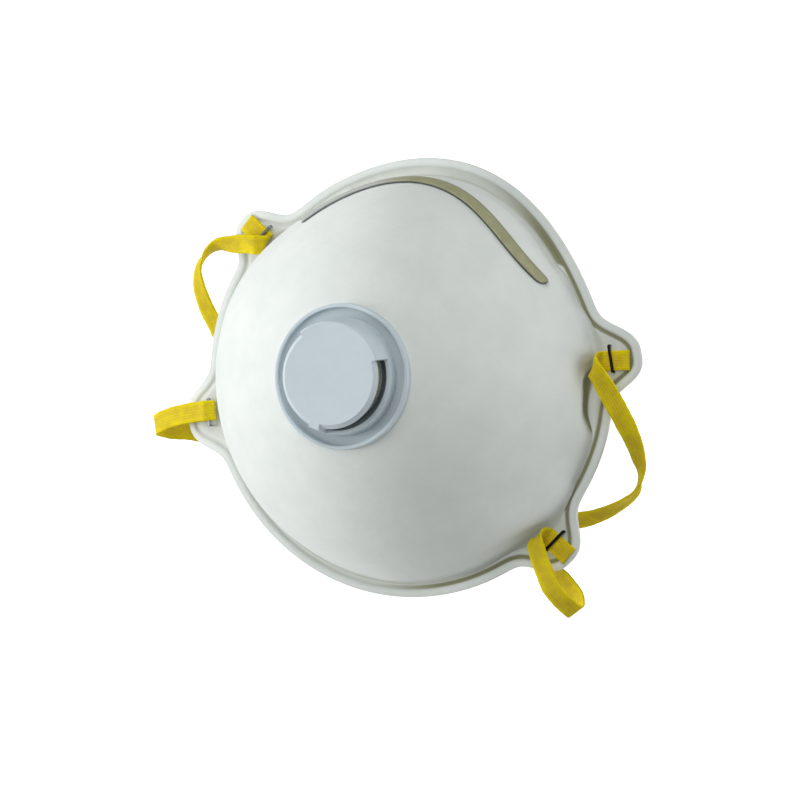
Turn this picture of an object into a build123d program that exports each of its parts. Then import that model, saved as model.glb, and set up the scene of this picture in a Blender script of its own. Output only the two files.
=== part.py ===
from build123d import *
import os
from math import cos, sin, exp, pi, radians, sqrt

# A moulded cup respirator. Everything is worked out lying down, with x across the face, y up
# towards the nose and z out of the cup, and is turned at the end so that the cup faces -Y and
# the nose is at +Z. The origin is the centre of the rim's back face, on the valve's axis.

# Cup and rim (mm)
cup_radius = 64.0            # the cup's outer face where it meets the rim
apex_height = 56.9           # where the cup's profile would close
crown_height = 51.7          # the flat crown that the valve sits on
profile_power = 1.8          # fullness of the cup's profile, 2 would be an ellipse
cheek_flat = 3.3             # how far the rim is drawn in either side of the nose
rim_width = 5.0
cup_sections = 9
outline_points = 96

# Ears that the straps are stapled to: angle from +x, height outside the rim, half width
ears = [(23.5, 10.8, 9.8), (158.0, 9.4, 8.4), (-28.6, 9.9, 9.8), (208.8, 10.2, 9.8)]

# The plies: how deep each one's faces lie in the wall, and its share of the rim's thickness
plies = {
    "outer_cover": {"wall": (0.0, 0.5), "rim": (1.07, 1.55)},
    "filter_layer": {"wall": (0.52, 1.45), "rim": (0.62, 1.05)},
    "inner_shell": {"wall": (1.47, 2.6), "rim": (0.0, 0.6)},
}
wall_thickness = plies["inner_shell"]["wall"][1]
rim_thickness = plies["outer_cover"]["rim"][1]

# Nose clip and the foam behind it: angles either side of the nose
clip_width, clip_thickness = 5.0, 0.9
clip_from, clip_to = -42.5, 49.0
clip_wave = (14.3, -8.6, 4.6, 11.9, -3.8)   # its height as a polynomial of angle / 45
clip_gap = 0.15
foam_width, foam_thickness = 10.0, 3.2
foam_half_angle = 38.0
foam_height, foam_rise = 8.5, 2.5
foam_gap = 0.5

# Exhalation valve, heights counted from the crown
neck_hole_radius = 15.1
neck_radius, bore_radius = 14.9, 13.0
neck_depth = 5.2
seat_radius, seat_floor = 22.6, 0.9
seat_gap = 0.02              # between the crown's felt and the seat
bead_width, bead_height = 1.3, 2.0
lip_radius, lip_height = 14.0, 2.2
ring_inner, ring_outer, ring_height = 15.6, 16.7, 2.6
rib_width, rib_height, hub_radius = 1.2, 1.6, 2.6
rib_sink, rib_bite = 0.2, 0.3
flap_radius, flap_thickness = 13.7, 0.5
flap_lift = 0.03
hinge_height = 9.2           # the chord, above the valve's axis, that the flap bends along
hinge_gap = 0.12
peg_radius, peg_spacing, peg_up = 0.8, 8.0, 11.4
peg_low, peg_high = 1.7, 3.5
cover_base_radius, cover_face_radius = 18.4, 16.9
cover_bottom, cover_top = 0.95, 10.9
cover_wall, cover_plate = 1.2, 1.3
window_bottom = 4.6
window_from, window_to = -84.0, 36.0
window_face_radius, window_rim_radius = 14.9, 16.2
bar_length, bar_width = 15.0, 2.6
clamp_ring_radius, clamp_ring_height = 19.0, 1.6
edge_softening = 0.4

# Straps and staples
strap_width, strap_thickness = 6.2, 0.75
end_step, loop_step = 1.0, 4.0
bend_sections = 4            # a bend is this many end steps long
wire_radius, crown_length, staple_crown_height = 0.28, 8.4, 2.70
leg_clearance, clinch_length = 0.03, 2.4
staples = {
    "staple_upper_right": ((63.2, 26.8), -62.0),
    "staple_upper_left": ((-62.0, 25.8), 242.0),
    "staple_lower_right": ((63.0, -32.8), 62.0),
    "staple_lower_left": ((-61.8, -32.6), 114.0),
}

# Each strap is one elastic, from the free end under its right staple to the one under its left.
# A row is a point of its middle line and the direction across its width, as (x, y, z) each.
upper_strap = [
    ((69.1, 28.25, 1.98), (-0.37, 0.93, 0.0)),
    ((61.9, 25.6, 1.98), (-0.37, 0.93, 0.0)),
    ((60.9, 25.2, 2.0), (-0.35, 0.93, 0.0)),
    ((60.0, 24.7, 3.6), (-0.2, 0.95, 0.1)),
    ((59.9, 24.0, 6.0), (-0.05, 0.97, 0.2)),
    ((61.2, 22.8, 8.3), (0.3, 0.9, 0.25)),
    ((64.2, 20.5, 8.2), (0.6, 0.78, 0.15)),
    ((68.2, 16.2, 6.2), (0.63, 0.72, -0.3)),
    ((73.5, 10.3, 3.4), (0.71, 0.67, -0.22)),
    ((77.8, 4.1, 0.0), (0.92, 0.37, 0.12)),
    ((79.6, -2.4, -5.0), (0.93, -0.13, 0.34)),
    ((79.5, -7.5, -9.0), (0.48, -0.59, 0.65)),
    ((77.3, -13.2, -13.0), (-0.3, -0.33, 0.89)),
    ((71.7, -19.3, -16.0), (-0.45, 0.1, 0.89)),
    ((65.1, -24.5, -18.0), (-0.46, 0.45, 0.77)),
    ((57.0, -28.8, -19.3), (-0.34, 0.79, 0.5)),
    ((42.0, -32.6, -21.0), (-0.19, 0.96, 0.19)),
    ((22.0, -35.0, -23.0), (-0.1, 0.99, 0.05)),
    ((0.0, -35.6, -24.0), (0.0, 1.0, 0.0)),
    ((-22.0, -33.6, -23.6), (0.12, 0.99, 0.05)),
    ((-42.0, -29.6, -22.6), (0.28, 0.94, 0.1)),
    ((-58.0, -23.8, -21.6), (0.45, 0.85, 0.2)),
    ((-69.5, -17.0, -20.2), (0.6, 0.75, 0.3)),
    ((-76.8, -9.6, -18.0), (0.68, 0.65, 0.35)),
    ((-81.4, -3.4, -14.6), (0.72, 0.55, 0.4)),
    ((-83.8, 2.6, -11.0), (0.92, -0.05, 0.39)),
    ((-83.8, 8.2, -7.6), (0.6, -0.56, 0.57)),
    ((-81.0, 12.8, -4.0), (-0.1, -0.59, 0.8)),
    ((-78.2, 16.0, -1.2), (-0.55, -0.18, 0.82)),
    ((-74.8, 18.4, 1.4), (-0.62, 0.44, 0.65)),
    ((-69.6, 20.4, 4.0), (-0.51, 0.76, 0.4)),
    ((-64.2, 22.3, 6.6), (-0.48, 0.86, 0.2)),
    ((-60.8, 23.1, 7.6), (-0.25, 0.93, 0.2)),
    ((-59.3, 23.7, 6.3), (0.0, 0.97, 0.2)),
    ((-59.3, 24.2, 3.8), (0.2, 0.97, 0.1)),
    ((-60.2, 24.7, 2.0), (0.32, 0.94, 0.0)),
    ((-61.2, 25.1, 1.98), (0.34, 0.94, 0.0)),
    ((-69.0, 28.0, 1.98), (0.34, 0.94, 0.0)),
]
upper_splits = (9, 29)

lower_strap = [
    ((68.9, -36.0, 1.98), (0.37, 0.93, 0.0)),
    ((61.4, -33.0, 1.98), (0.37, 0.93, 0.0)),
    ((60.3, -32.6, 2.0), (0.37, 0.93, 0.0)),
    ((59.2, -32.3, 3.2), (0.38, 0.92, 0.05)),
    ((58.3, -32.8, 4.7), (0.5, 0.82, 0.25)),
    ((58.4, -34.6, 5.7), (0.72, 0.64, 0.25)),
    ((60.2, -37.9, 5.5), (0.86, 0.5, 0.1)),
    ((62.9, -42.1, 4.2), (0.9, 0.42, 0.05)),
    ((66.9, -47.6, 2.0), (0.86, 0.5, 0.0)),
    ((70.9, -50.9, -1.6), (0.72, 0.68, 0.0)),
    ((73.6, -52.6, -5.2), (0.6, 0.8, 0.0)),
    ((71.6, -50.2, -9.0), (0.55, 0.83, 0.05)),
    ((66.4, -47.4, -12.2), (0.4, 0.9, 0.1)),
    ((60.2, -45.4, -15.0), (0.25, 0.96, 0.1)),
    ((44.0, -42.4, -21.0), (0.06, 0.98, 0.15)),
    ((23.0, -45.0, -25.6), (-0.06, 0.98, 0.15)),
    ((0.0, -47.0, -27.4), (0.0, 0.98, 0.15)),
    ((-24.0, -47.0, -26.4), (0.04, 0.98, 0.15)),
    ((-46.0, -45.6, -22.8), (0.06, 0.97, 0.15)),
    ((-61.0, -43.6, -18.6), (0.0, 0.98, 0.15)),
    ((-71.4, -42.4, -14.8), (-0.15, 0.97, 0.15)),
    ((-79.2, -44.0, -10.6), (-0.3, 0.93, 0.15)),
    ((-81.9, -43.7, -6.2), (-0.42, 0.9, 0.05)),
    ((-79.8, -42.2, -2.4), (-0.45, 0.89, 0.0)),
    ((-75.6, -39.2, 0.6), (-0.45, 0.89, 0.0)),
    ((-70.4, -36.2, 3.2), (-0.43, 0.9, 0.0)),
    ((-64.8, -33.4, 5.2), (-0.41, 0.91, 0.0)),
    ((-61.2, -31.8, 6.4), (-0.41, 0.91, 0.05)),
    ((-59.5, -31.1, 5.2), (-0.41, 0.91, 0.05)),
    ((-59.8, -31.2, 3.3), (-0.41, 0.91, 0.0)),
    ((-61.0, -31.7, 2.0), (-0.41, 0.91, 0.0)),
    ((-62.0, -32.2, 1.98), (-0.41, 0.91, 0.0)),
    ((-69.4, -35.5, 1.98), (-0.41, 0.91, 0.0)),
]
lower_splits = (9, 24)


# ---- shapes of the rim and the cup

def turn_between(angle, centre):
    """The angle from centre to angle, between -pi and pi."""
    return (angle - centre + pi) % (2 * pi) - pi


def cheek_dip(angle):
    """How far the upper half of the outline is drawn in at this angle."""
    return cheek_flat * sin(2 * angle) ** 2 if sin(angle) > 0 else 0.0


def rim_radius_at(angle):
    """The rim's outer edge, with a smooth bump at each ear."""
    radius = cup_radius + rim_width - cheek_dip(angle)
    for centre, height, half_width in ears:
        along = turn_between(angle, radians(centre)) * (cup_radius + rim_width)
        radius += height * exp(-abs(along / half_width) ** 3)
    return radius


def cup_radius_at(angle, height, inset):
    """Radius of the cup's wall at a height, inset mm under its outer face."""
    share = max(height, 0.0) / (apex_height - inset)
    fullness = (1 - share ** profile_power) ** (1 / profile_power)
    dip = cheek_dip(angle) * (1 - (max(height, 0.0) / crown_height) ** 2)
    return (cup_radius - inset - dip) * fullness


def ring_face(radius_at, height, count):
    """A flat face inside a smooth closed outline, given as radius against angle."""
    angles = [2 * pi * k / count for k in range(count)]
    points = [(radius_at(a) * cos(a), radius_at(a) * sin(a), height) for a in angles]
    return make_face(Spline(*points, periodic=True))


def cup_solid(inset):
    """The solid inside the cup's wall at a depth under its outer face, from z = 0 to the crown."""
    top = crown_height - inset
    heights = [top * sin(pi / 2 * k / cup_sections) for k in range(cup_sections + 1)]
    sections = [ring_face(lambda a: cup_radius_at(a, h, inset), h, outline_points // 2) for h in heights]
    return loft(sections)


def slab(bottom, top):
    """A block wider than the mask between two heights."""
    return Pos(0, 0, (bottom + top) / 2) * Box(300, 300, top - bottom)


def ply(wall, rim):
    """One moulded layer: its share of the cup's wall, the crown and the flat rim, in one piece."""
    outer_inset, inner_inset = wall
    low, high = rim
    plate = extrude(ring_face(rim_radius_at, low, outline_points), amount=high - low)
    body = cup_solid(outer_inset) - slab(-1, low) if low > 0 else cup_solid(outer_inset)
    hollow = cup_solid(inner_inset)
    if low == 0:
        mouth = ring_face(lambda a: cup_radius_at(a, 0, inner_inset), -1, outline_points // 2)
        hollow += extrude(mouth, amount=1)
    body = plate + body - hollow
    body -= Pos(0, 0, crown_height) * Cylinder(neck_hole_radius, 20)
    for centre, angle in staples.values():
        body -= staple(centre, angle, leg_clearance)
    return body


# ---- nose clip and foam

def clip_height_at(angle):
    """The clip waves a little along the cup, as a strip pinched by hand does."""
    return sum(c * (angle / 45.0) ** k for k, c in enumerate(clip_wave))


def foam_height_at(angle):
    """The foam rises a little towards its ends."""
    return foam_height + foam_rise * (angle / foam_half_angle) ** 2


def band_on_cup(angles, inset, height_at, width, thickness):
    """A strip laid along the cup's wall over the nose, thickness measured outwards from inset."""
    sections = []
    for angle in angles:
        around = radians(90 + angle)
        middle = height_at(angle)
        low = cup_radius_at(around, middle - 1, inset)
        high = cup_radius_at(around, middle + 1, inset)
        lean = (low - high) / 2
        length = sqrt(1 + lean * lean)
        out = Vector(cos(around), sin(around), 0)
        up = (Vector(0, 0, 1) - out * lean) * (1 / length)
        normal = (out + Vector(0, 0, lean)) * (1 / length)
        along = normal.cross(up)
        foot = out * cup_radius_at(around, middle, inset) + Vector(0, 0, middle)
        plane = Plane(foot + normal * (thickness / 2), x_dir=up, z_dir=along)
        sections.append(plane * Rectangle(width, thickness))
    return loft(sections, ruled=True)


def nose_clip():
    """The soft aluminium strip that is pinched over the nose."""
    count = 18
    angles = [clip_from + (clip_to - clip_from) * k / count for k in range(count + 1)]
    return band_on_cup(angles, -clip_gap, clip_height_at, clip_width, clip_thickness)


def nose_foam():
    """The foam strip glued inside the cup, behind the clip."""
    count = 14
    angles = [foam_half_angle * (2 * k / count - 1) for k in range(count + 1)]
    inset = wall_thickness + foam_gap + foam_thickness
    return band_on_cup(angles, inset, foam_height_at, foam_width, foam_thickness)


# ---- valve

def tube(inner, outer, bottom, top):
    """A ring about the valve's axis between two heights counted from the crown."""
    middle = crown_height + (bottom + top) / 2
    ring = Cylinder(outer, top - bottom) - Cylinder(inner, top - bottom)
    return Pos(0, 0, middle) * ring


def block(x_size, y_size, bottom, top, y=0.0, x=0.0):
    """A block on the valve between two heights counted from the crown."""
    return Pos(x, y, crown_height + (bottom + top) / 2) * Box(x_size, y_size, top - bottom)


def disc_above(chord, radius, bottom, top):
    """The part of a disc that lies above a chord."""
    disc = Pos(0, 0, crown_height + (bottom + top) / 2) * Cylinder(radius, top - bottom)
    return disc & block(100, 50, bottom, top, y=chord + 25)


def peg_places():
    return [(side * peg_spacing / 2, peg_up) for side in (-1, 1)]


def valve_seat():
    """The plate outside the cup with its bead, the neck through the cup, the lip that the flap
    closes on, the spokes that hold the flap up, and the pegs that locate it."""
    body = tube(bore_radius, seat_radius, seat_gap, seat_floor)
    body += tube(seat_radius - bead_width, seat_radius, seat_gap, bead_height)
    body = fillet(body.edges().group_by(Axis.Z)[-1], edge_softening)
    body += tube(bore_radius, neck_radius, -neck_depth, seat_floor)
    body += tube(bore_radius, lip_radius, seat_gap, lip_height)
    body += tube(ring_inner, ring_outer, seat_gap, ring_height)
    hub = Pos(0, 0, crown_height + rib_height / 2 - rib_sink)
    body += hub * Cylinder(hub_radius, rib_height)
    for angle in (30, 90, 150):
        body += hub * Rot(0, 0, angle) * Box(2 * (bore_radius + rib_bite), rib_width, rib_height)
    body += disc_above(hinge_height + hinge_gap, bore_radius + rib_bite, 0.0, lip_height)
    for x, y in peg_places():
        body += Pos(x, y, crown_height + (peg_low + peg_high) / 2) * Cylinder(peg_radius, peg_high - peg_low)
    return body


def flap_disc():
    low = lip_height + flap_lift
    return Pos(0, 0, crown_height + low + flap_thickness / 2) * Cylinder(flap_radius, flap_thickness)


def valve_flap():
    """The part of the rubber disc below its clamped chord, which lifts to let breath out."""
    low, high = lip_height - 1, lip_height + 2
    return flap_disc() - block(60, 20, low, high, y=hinge_height + 10 - hinge_gap / 2)


def valve_flap_root():
    """The strip of the same disc above the chord, held on the seat by its pegs."""
    low, high = lip_height - 1, lip_height + 2
    root = flap_disc() - block(60, 60, low, high, y=hinge_height - 30 + hinge_gap / 2)
    for x, y in peg_places():
        root -= Pos(x, y, crown_height + lip_height) * Cylinder(peg_radius + 0.05, 6)
    return root


def sector(start, end, radius, bottom, top):
    """A pie slice about the valve's axis between two angles and two heights."""
    count = 6
    turns = [radians(start + (end - start) * k / count) for k in range(count + 1)]
    rim = [(radius * cos(a), radius * sin(a)) for a in turns]
    face = make_face(Polyline((0, 0), *rim, close=True))
    return Pos(0, 0, crown_height + bottom) * extrude(face, amount=top - bottom)


def cover_outline(inset, bottom, top):
    """The cap's outer cone, or with an inset its inside."""
    slope = (cover_base_radius - cover_face_radius) / (cover_top - cover_bottom)
    low = cover_base_radius - slope * (bottom - cover_bottom) - inset
    high = cover_base_radius - slope * (top - cover_bottom) - inset
    return Pos(0, 0, crown_height + (bottom + top) / 2) * Cone(low, high, top - bottom)


def valve_cover():
    """The cap: a tapered wall with a window each side, and a plate that is chamfered over the
    windows. A bar under the plate presses the flap's root on to the seat."""
    roof = cover_top - cover_plate
    outside = cover_outline(0, cover_bottom, cover_top)
    outside = chamfer(outside.edges().sort_by(Axis.Z)[-1], edge_softening)
    body = outside - cover_outline(cover_wall, cover_bottom, roof)
    plate = Cone(window_rim_radius, window_face_radius, cover_plate)
    plate = Pos(0, 0, crown_height + (roof + cover_top) / 2) * plate
    for start, end in [(window_from, window_to), (180 - window_to, 180 - window_from)]:
        body -= sector(start, end, 40, window_bottom, cover_top + 1) - plate
    bar = block(bar_length, bar_width, lip_height + flap_thickness + 0.1, roof + 0.2, y=peg_up)
    for x, y in peg_places():
        bar -= Pos(x, y, crown_height + lip_height + 0.5) * Cylinder(peg_radius + 0.1, 2.6)
    return body + bar


def valve_clamp_ring():
    """The ring pressed on to the neck inside the cup, which grips the plies against the seat."""
    top = -wall_thickness - 0.05
    ring = tube(neck_radius + 0.03, clamp_ring_radius, top - clamp_ring_height, top)
    return fillet(ring.edges().group_by(Axis.Z)[0], edge_softening)


# ---- staples

def staple(centre, angle, extra=0.0):
    """A wire staple: a crown over the strap, two legs through the rim, and their points bent in
    flush with the rim's back face. With extra, the same wire a little thicker, to cut its holes."""
    radius = wire_radius + extra
    half = crown_length / 2
    depth = wire_radius + 0.02
    wire = Pos(0, 0, staple_crown_height) * Rot(0, 90, 0) * Cylinder(radius, crown_length + 2 * extra)
    for side in (-1, 1):
        leg_top = staple_crown_height if extra == 0 else rim_thickness + 1
        leg_length = leg_top - depth
        wire += Pos(side * half, 0, depth + leg_length / 2) * Cylinder(radius, leg_length)
        wire += Pos(side * half, 0, staple_crown_height) * Sphere(radius)
        wire += Pos(side * half, 0, depth) * Sphere(radius)
        point = Rot(0, 90, 0) * Cylinder(radius, clinch_length)
        wire += Pos(side * (half - clinch_length / 2), 0, depth) * point
    return Pos(centre[0], centre[1], 0) * Rot(0, 0, angle) * wire


# ---- straps

def smooth_rows(rows, step):
    """Points along a smooth curve through the rows, about step apart, with their directions."""
    points = [Vector(*p) for p, _ in rows]
    sides = [Vector(*s) for _, s in rows]
    gaps = [(b - a).length for a, b in zip(points, points[1:])]

    def slope(values, i):
        before, after = max(i - 1, 0), min(i, len(gaps) - 1)
        back = (values[before + 1] - values[before]) * (1 / gaps[before])
        ahead = (values[after + 1] - values[after]) * (1 / gaps[after])
        return (back * gaps[after] + ahead * gaps[before]) * (1 / (gaps[before] + gaps[after]))

    def between(values, i, t):
        gap = gaps[i]
        start = values[i] * (2 * t ** 3 - 3 * t ** 2 + 1) + slope(values, i) * (gap * (t ** 3 - 2 * t ** 2 + t))
        end = values[i + 1] * (3 * t ** 2 - 2 * t ** 3) + slope(values, i + 1) * (gap * (t ** 3 - t ** 2))
        return start + end

    spans = []
    for i, gap in enumerate(gaps):
        count = max(2, round(gap / step(i)))
        spans.append([(between(points, i, k / count), between(sides, i, k / count)) for k in range(count)])
    spans.append([(points[-1], sides[-1])])
    return spans


def strap_pieces(rows, splits):
    """The elastic cut into its right stapled end, the loop that swings, its left stapled end, and
    the two short lengths between them that bend where it leaves the ears."""
    first, last = splits
    spans = smooth_rows(rows, lambda i: loop_step if first <= i < last else end_step)
    starts = [sum(len(s) for s in spans[:i]) for i in range(len(spans))]
    line = [row for span in spans for row in span]
    sections = []
    for k, (point, side) in enumerate(line):
        ahead = line[min(k + 1, len(line) - 1)][0] - line[max(k - 1, 0)][0]
        across = side - ahead * (side.dot(ahead) / ahead.dot(ahead))
        plane = Plane(point, x_dir=across.normalized(), z_dir=ahead.normalized())
        sections.append(plane * Rectangle(strap_width, strap_thickness))
    low, high = starts[first], starts[last]
    cuts = [0, low - bend_sections, low, high, high + bend_sections, len(line) - 1]
    right, right_bend, loop, left_bend, left = [
        loft(sections[a:b + 1], ruled=True) for a, b in zip(cuts, cuts[1:])
    ]
    return {
        "_strap_right_end": right,
        "_strap_loop": loop,
        "_strap_left_end": left,
        "_strap_bends": Compound([right_bend, left_bend]),
    }


# ---- the whole mask

def all_parts():
    parts = {name: ply(sizes["wall"], sizes["rim"]) for name, sizes in plies.items()}
    parts["nose_clip"] = nose_clip()
    parts["nose_foam"] = nose_foam()
    parts["valve_seat"] = valve_seat()
    parts["valve_flap"] = valve_flap()
    parts["valve_flap_root"] = valve_flap_root()
    parts["valve_cover"] = valve_cover()
    parts["valve_clamp_ring"] = valve_clamp_ring()
    for name, (centre, angle) in staples.items():
        parts[name] = staple(centre, angle)
    for level, rows, splits in [("upper", upper_strap, upper_splits), ("lower", lower_strap, lower_splits)]:
        for ending, shape in strap_pieces(rows, splits).items():
            parts[level + ending] = shape
    return parts


os.makedirs("parts", exist_ok=True)
for name, shape in all_parts().items():
    export_step(Rot(90, 0, 0) * shape, "parts/" + name + ".step")
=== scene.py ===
import bmesh
import bpy
from math import acos, cos, exp, hypot, pi, radians, sin, sqrt
from mathutils import Matrix, Vector


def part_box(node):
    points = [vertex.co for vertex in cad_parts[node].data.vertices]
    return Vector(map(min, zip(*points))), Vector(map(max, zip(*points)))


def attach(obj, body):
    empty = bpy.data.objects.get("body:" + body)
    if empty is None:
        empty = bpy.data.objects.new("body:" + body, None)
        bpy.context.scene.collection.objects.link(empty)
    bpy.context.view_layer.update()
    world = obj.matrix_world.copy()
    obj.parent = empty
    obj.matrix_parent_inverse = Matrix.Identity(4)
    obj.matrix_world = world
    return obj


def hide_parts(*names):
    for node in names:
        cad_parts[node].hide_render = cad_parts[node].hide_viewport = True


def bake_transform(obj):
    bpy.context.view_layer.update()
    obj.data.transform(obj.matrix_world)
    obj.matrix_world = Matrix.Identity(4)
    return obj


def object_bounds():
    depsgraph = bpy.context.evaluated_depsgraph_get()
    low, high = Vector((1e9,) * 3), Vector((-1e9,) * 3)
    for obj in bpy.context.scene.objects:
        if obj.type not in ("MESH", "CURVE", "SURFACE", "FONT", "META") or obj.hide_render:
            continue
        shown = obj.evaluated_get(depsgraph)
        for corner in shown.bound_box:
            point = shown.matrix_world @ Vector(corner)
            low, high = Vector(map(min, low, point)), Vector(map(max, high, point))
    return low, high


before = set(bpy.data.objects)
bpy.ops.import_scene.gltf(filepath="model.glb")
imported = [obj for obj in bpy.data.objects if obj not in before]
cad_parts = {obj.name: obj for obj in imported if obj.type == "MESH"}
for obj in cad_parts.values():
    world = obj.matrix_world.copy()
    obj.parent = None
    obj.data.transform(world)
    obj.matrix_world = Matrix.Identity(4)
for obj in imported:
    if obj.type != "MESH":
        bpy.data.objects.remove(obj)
cad_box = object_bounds()

# A disposable cup respirator. The lengths below are in millimetres, and at() turns them into
# the frame's metres: x across, up towards the nose, out from the face.
MM = 0.001

# ---- sizes that the frame gives

cover_low, cover_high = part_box("outer_cover")
CROWN = -cover_low.y / MM                       # height of the flat crown over the rim's back
RIM_RADIUS = (cover_high.z - cover_low.z) / 2 / MM
seat_low, seat_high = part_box("valve_seat")
FLANGE_RADIUS = (seat_high.x - seat_low.x) / 2 / MM
UNDER_FLANGE = FLANGE_RADIUS - 3                # the flat crown's last ring, under the flange

# ---- cup, rim and ears

RIM_WIDTH = 5.0
CUP_RADIUS = RIM_RADIUS - RIM_WIDTH
APEX = 56.9                    # where the cup's profile would close
FULLNESS = 1.8                 # the power of its curve; 2 would be an ellipse
CHEEK_FLAT = 3.3               # how far the rim is drawn in between the nose and the ears
NECK_HOLE = 15.1               # the radius of the hole for the valve's neck
EARS = [(23.5, 10.8, 9.8), (158.0, 9.4, 8.4), (-28.6, 9.9, 9.8), (208.8, 10.2, 9.8)]
EAR_BEND_LEFT, EAR_BEND_RIGHT = 3.2, 0.6   # how far an ear's tip is bent back
EAR_REACH = 11.0               # how far a bent tip stands beyond the rim
LEFT_DIP, LEFT_DIP_AT, LEFT_DIP_WIDTH = 1.1, 146.0, 9.0   # depth, angle and width
# Beside the ears the cup is drawn in, or stands out where the depth is negative. An ear is its
# angle, height and half width, and a dent is its angle, depth and width.
DENTS = [
    (12.5, 5.9, 8.8),
    (29.5, -1.9, 8.0),
    (167.0, 5.6, 8.5),
    (146.0, 1.2, 9.0),
    (-38.0, 0.8, 8.5),
    (-20.0, -1.9, 7.0),
    (218.0, 1.2, 8.5),
]
DENT_HEIGHT = 15.0             # how far up the wall a dent reaches
AROUND = 480                   # steps round the rim
WELD_INNER, WELD_OUTER = 3.7, 2.5   # the weld's two sides, counted in from the rim's edge
WELD_DEPTH = 0.32
WELD_FAINT = 0.28              # the weld's own tone, on the left where no shade is painted in
NOSE_WELD_EXTRA = 1.4          # the weld is wider over the nose
NOSE_WELD_FROM = 53.0          # from this angle to its mirror
FOOT_RADIUS = 1.1              # the small round at the cup's foot
PLIES = {
    "outer_cover": {"wall": (0.0, 0.5), "rim": (1.05, 1.55)},
    "filter_layer": {"wall": (0.52, 1.45), "rim": (0.62, 1.03)},
    "inner_shell": {"wall": (1.47, 2.6), "rim": (0.0, 0.6)},
}

# ---- nose clip and foam

CLIP_WIDTH, CLIP_THICKNESS = 5.0, 0.9
CLIP_FROM, CLIP_TO = -42.5, 49.0       # its ends, in degrees from the nose towards the left
CLIP_WAVE = (14.3, -8.6, 4.6, 11.9, -3.8)   # its height as a polynomial of angle / 45
FOAM_WIDTH, FOAM_THICKNESS, FOAM_HALF_ANGLE = 10.0, 3.2, 38.0
FOAM_HEIGHT, FOAM_RISE, FOAM_GAP = 8.5, 2.5, 0.5

# ---- straps and staples

STRAP_WIDTH, STRAP_THICKNESS, STRAP_STEP = 6.2, 0.75, 0.6
STAPLED_STEPS, LEAVING_STEPS = 13, 6   # steps that lie on the ear, and steps that lift off it
WIRE_WIDTH, WIRE_RADIUS, WIRE_BEND = 1.0, 0.26, 0.5
CROWN_LENGTH, STAPLE_CROWN, CLINCH = 8.4, 2.70, 2.4
# A staple is its centre, the turn of its crown in degrees, and its slot.
STAPLES = {
    "staple_upper_right": ((63.2, 26.8), -62.0, "staple_dark"),
    "staple_upper_left": ((-62.0, 25.8), 242.0, "staple_bright"),
    "staple_lower_right": ((63.0, -32.8), 62.0, "staple_dark"),
    "staple_lower_left": ((-61.8, -32.6), 114.0, "staple_bright"),
}

# A row is a point of the elastic's middle line and the direction across its width.
UPPER_STRAP = [
    ((69.1, 28.25, 1.98), (-0.37, 0.93, 0.0)),
    ((61.9, 25.6, 1.98), (-0.37, 0.93, 0.0)),
    ((60.9, 25.2, 2.0), (-0.35, 0.93, 0.0)),
    ((60.0, 24.7, 3.6), (-0.2, 0.95, 0.1)),
    ((59.9, 24.0, 6.0), (-0.05, 0.97, 0.2)),
    ((61.2, 22.8, 8.3), (0.3, 0.9, 0.25)),
    ((64.2, 20.5, 8.2), (0.6, 0.78, 0.15)),
    ((68.2, 16.2, 6.2), (0.63, 0.72, -0.3)),
    ((73.5, 10.3, 3.4), (0.71, 0.67, -0.22)),
    ((77.8, 4.1, 0.0), (0.92, 0.37, 0.12)),
    ((79.6, -2.4, -5.0), (0.93, -0.13, 0.34)),
    ((79.5, -7.5, -9.0), (0.48, -0.59, 0.65)),
    ((77.3, -13.2, -13.0), (-0.3, -0.33, 0.89)),
    ((71.7, -19.3, -16.0), (-0.45, 0.1, 0.89)),
    ((65.1, -24.5, -18.0), (-0.46, 0.45, 0.77)),
    ((57.0, -28.8, -19.3), (-0.34, 0.79, 0.5)),
    ((42.0, -32.6, -21.0), (-0.19, 0.96, 0.19)),
    ((22.0, -35.0, -23.0), (-0.1, 0.99, 0.05)),
    ((0.0, -35.6, -24.0), (0.0, 1.0, 0.0)),
    ((-22.0, -33.6, -23.6), (0.12, 0.99, 0.05)),
    ((-42.0, -29.6, -22.6), (0.28, 0.94, 0.1)),
    ((-58.0, -23.8, -21.6), (0.45, 0.85, 0.2)),
    ((-69.5, -17.0, -20.2), (0.6, 0.75, 0.3)),
    ((-76.8, -9.6, -18.0), (0.68, 0.65, 0.35)),
    ((-81.4, -3.4, -14.6), (0.72, 0.55, 0.4)),
    ((-83.8, 2.6, -11.0), (0.92, -0.05, 0.39)),
    ((-83.8, 8.2, -7.6), (0.6, -0.56, 0.57)),
    ((-81.0, 12.8, -4.0), (-0.1, -0.59, 0.8)),
    ((-78.2, 16.0, -1.2), (-0.55, -0.18, 0.82)),
    ((-74.8, 18.4, 1.4), (-0.62, 0.44, 0.65)),
    ((-69.6, 20.4, 4.0), (-0.51, 0.76, 0.4)),
    ((-64.2, 22.3, 6.6), (-0.48, 0.86, 0.2)),
    ((-60.8, 23.1, 7.6), (-0.25, 0.93, 0.2)),
    ((-59.3, 23.7, 6.3), (0.0, 0.97, 0.2)),
    ((-59.3, 24.2, 3.8), (0.2, 0.97, 0.1)),
    ((-60.2, 24.7, 2.0), (0.32, 0.94, 0.0)),
    ((-61.2, 25.1, 1.98), (0.34, 0.94, 0.0)),
    ((-69.0, 28.0, 1.98), (0.34, 0.94, 0.0)),
]
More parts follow.
